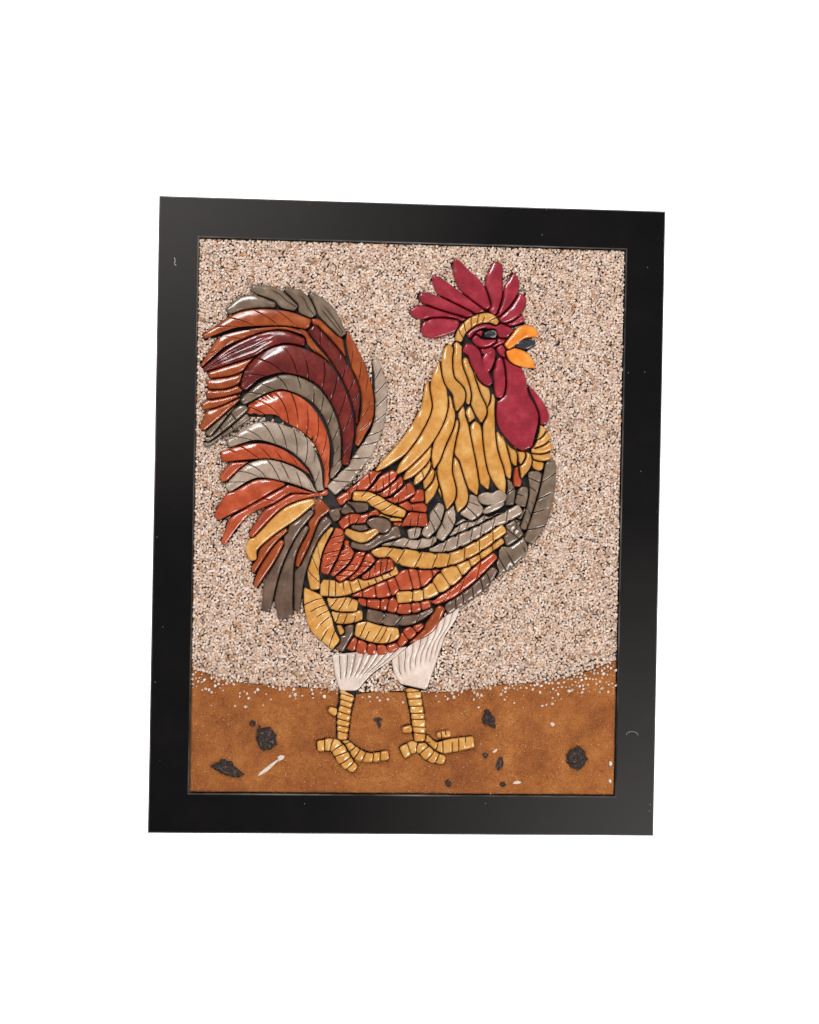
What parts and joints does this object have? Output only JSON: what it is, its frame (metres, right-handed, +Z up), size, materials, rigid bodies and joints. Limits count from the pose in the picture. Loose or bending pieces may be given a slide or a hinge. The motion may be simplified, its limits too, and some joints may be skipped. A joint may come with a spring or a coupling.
{
  "type": "mosaic panel",
  "caption": "Framed wall mosaic of a rooster in glazed clay pieces on crushed stone and sand, in a flat black wooden frame.",
  "frame": {"origin": "middle of the back face of the top rail, on the wall plane", "axes": "+Z up, +X to the right as seen from the front, the picture faces -Y"},
  "size_m": [0.51, 0.0244, 0.634],
  "materials": {
    "adhesive": "near-black set adhesive",
    "board": "plain plywood",
    "cream_clay": "cream glazed clay, rounded edges, satin gloss",
    "crimson_clay": "deep crimson glazed clay, rounded edges, satin gloss",
    "crushed_stone": "beige and pink crushed stone, matt",
    "dark_clay": "smooth near-black glazed clay",
    "frame_paint": "satin black painted wood, lightly scuffed",
    "lava": "rough dark brown-black lava",
    "maroon_clay": "dark maroon glazed clay, rounded edges, satin gloss",
    "ochre_clay": "ochre glazed clay, rounded edges, satin gloss",
    "orange_clay": "bright orange glazed clay, rounded edges, satin gloss",
    "pale_clay": "pale grey glazed clay, rounded edges, satin gloss",
    "rust_clay": "rust-brown glazed clay, rounded edges, satin gloss",
    "sand": "orange-brown sand, fine grain, matt",
    "slate_clay": "dark slate-grey glazed clay, rounded edges, satin gloss",
    "taupe_clay": "taupe glazed clay, rounded edges, satin gloss",
    "terracotta_clay": "terracotta glazed clay, rounded edges, satin gloss"
  },
  "bodies": {
    "root": {"adhesive_bed": "adhesive", "backing_board": "board", "beak_lower": "orange_clay", "beak_upper": "orange_clay", "belly_ochre_fan": "ochre_clay", "belly_rust_sliver": "rust_clay", "belly_slate_leaf": "slate_clay", "belly_slate_row": "slate_clay", "belly_terracotta_row": "terracotta_clay", "breast_slate_rope": "slate_clay", "breast_taupe_scales": "taupe_clay", "comb": "crimson_clay", "crown_and_hackle": "ochre_clay", "eye": "dark_clay", "face": "crimson_clay", "flank_ochre_tiles": "ochre_clay", "flank_terracotta_leaves": "terracotta_clay", "frame_rail_bottom": "frame_paint", "frame_rail_left": "frame_paint", "frame_rail_right": "frame_paint", "frame_rail_top": "frame_paint", "gravel_between_thighs": "crushed_stone", "gravel_field": "crushed_stone", "lava_lump_large": "lava", "lava_lump_left": "lava", "lava_lump_right": "lava", "lava_lump_upper": "lava", "leg_left": "ochre_clay", "leg_right": "ochre_clay", "mouth_stone": "dark_clay", "red_accent": "terracotta_clay", "root_slate_lobes": "slate_clay", "saddle_ochre_strip": "ochre_clay", "saddle_terracotta_leaves": "terracotta_clay", "sand_ground": "sand", "side_ochre_crescent": "ochre_clay", "side_slate_lobes": "slate_clay", "side_terracotta_strip": "terracotta_clay", "tail_crest_leaves": "taupe_clay", "tail_maroon_plumes": "maroon_clay", "tail_ochre_plume": "ochre_clay", "tail_pale_outer": "pale_clay", "tail_pale_sickles": "pale_clay", "tail_rust_fan": "rust_clay", "tail_rust_inner": "rust_clay", "tail_rust_low": "rust_clay", "tail_rust_outer_strips": "rust_clay", "tail_rust_plumes": "rust_clay", "tail_slate_inner": "slate_clay", "tail_slate_plumes": "slate_clay", "tail_taupe_sickle": "taupe_clay", "tail_terracotta_low": "terracotta_clay", "tail_terracotta_mid": "terracotta_clay", "tail_terracotta_sickle": "terracotta_clay", "thigh_left": "cream_clay", "thigh_right": "cream_clay", "wattle": "crimson_clay", "wing_ochre_rows": "ochre_clay", "wing_pale_rows": "pale_clay", "wing_terracotta_rows": "terracotta_clay"}
  },
  "joints": []
}
